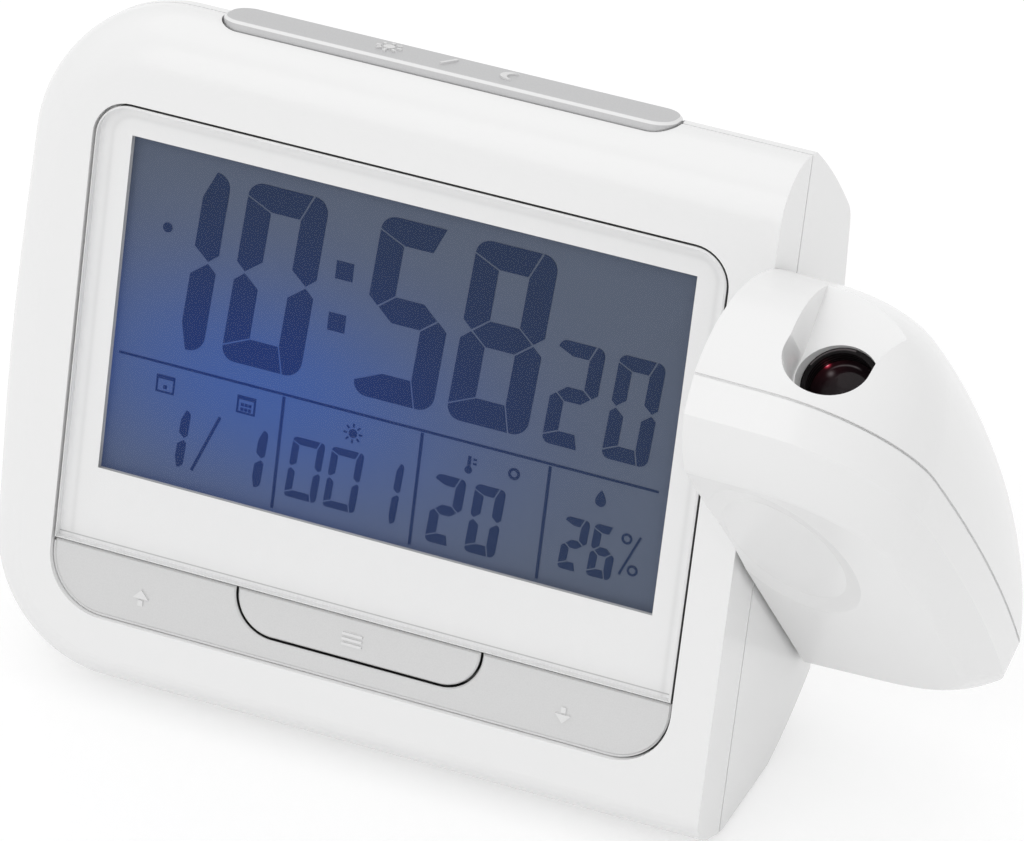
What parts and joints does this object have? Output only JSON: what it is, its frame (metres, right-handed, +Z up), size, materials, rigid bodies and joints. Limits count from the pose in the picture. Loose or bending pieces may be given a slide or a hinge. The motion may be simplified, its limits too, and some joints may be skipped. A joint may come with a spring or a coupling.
{
  "type": "projection alarm clock",
  "caption": "Free-standing alarm clock with a large leaning display, key strip, snooze bar and a side projector pod that tilts.",
  "frame": {"origin": "middle of the object's footprint, on the surface it stands on", "axes": "+Z up, -Y the side the display faces, +X towards the projector pod"},
  "size_m": [0.1614, 0.0678, 0.1094],
  "materials": {
    "white_plastic": "glossy white moulded ABS",
    "silver_plastic": "silver paint, satin",
    "clear_window": "clear acrylic, polished",
    "lcd_glass": "liquid crystal cell, polarised glass",
    "frosted_plastic": "frosted light guide",
    "white_frame": "plain moulded",
    "zebra_rubber": "layered rubber",
    "black_plastic": "plain moulded",
    "circuit_board": "solder mask",
    "steel": "zinc plated",
    "led_lens": "clear epoxy",
    "cell_wrap": "plain sleeve",
    "rubber_pad": "matt",
    "grey_plastic": "plain moulded acetal",
    "lens_glass": "polished acrylic"
  },
  "bodies": {
    "case": {"front_shell": "white_plastic", "back_shell": "white_plastic", "display_window": "clear_window", "lcd_panel": "lcd_glass", "light_guide": "frosted_plastic", "zebra_strip": "zebra_rubber", "lcd_holder": "white_frame", "backlight_led": "led_lens", "main_board": "circuit_board", "board_chips": "black_plastic", "key_switches": "black_plastic", "board_screws": "steel", "case_screws": "steel", "buzzer": "black_plastic", "dc_jack": "black_plastic", "batteries": "cell_wrap", "battery_contacts": "steel", "rubber_feet": "rubber_pad"},
    "pod": {"pod_upper_shell": "white_plastic", "pod_lower_shell": "white_plastic", "pivot_hub": "grey_plastic", "friction_washer": "rubber_pad", "lens_barrel": "black_plastic", "projection_lens": "lens_glass", "rear_lens": "lens_glass", "image_cell": "lcd_glass", "condenser_lens": "lens_glass", "led_board": "circuit_board", "projector_led": "led_lens", "pod_screws": "steel"},
    "snooze_bar": {"snooze_bar": "silver_plastic"},
    "mode_button": {"mode_button": "silver_plastic"},
    "up_down_strip": {"up_down_strip": "silver_plastic"},
    "alarm_slide": {"alarm_slide": "black_plastic"},
    "battery_door": {"battery_door": "white_plastic"}
  },
  "joints": [
    {"name": "pod_tilt", "type": "hinge", "parent": "case", "child": "pod", "pos_m": [0.04509, 0.00486, 0.06273], "axis": [1, 0, 0], "range_deg": [-126, 54]},
    {"name": "snooze_press", "type": "slide", "parent": "case", "child": "snooze_bar", "axis": [0, -0.2588, -0.9659], "range_m": [0, 0.0012], "stiffness_N_per_m": 800, "springref_m": -0.0006},
    {"name": "mode_press", "type": "slide", "parent": "case", "child": "mode_button", "axis": [0, 0.9659, -0.2588], "range_m": [0, 0.001], "stiffness_N_per_m": 600, "springref_m": -0.0004},
    {"name": "up_down_rock", "type": "hinge", "parent": "case", "child": "up_down_strip", "pos_m": [-0.01521, -0.01472, 0.0159], "axis": [0, 0.2588, 0.9659], "range_deg": [-1.3, 1.3], "stiffness_Nm_per_rad": 1.5},
    {"name": "alarm_slide_travel", "type": "slide", "parent": "case", "child": "alarm_slide", "axis": [1, 0, 0], "range_m": [-0.0015, 0.0015]},
    {"name": "door_hinge", "type": "hinge", "parent": "case", "child": "battery_door", "pos_m": [-0.01521, 0.03174, 0.00345], "axis": [1, 0, 0], "range_deg": [-90, 0]}
  ]
}
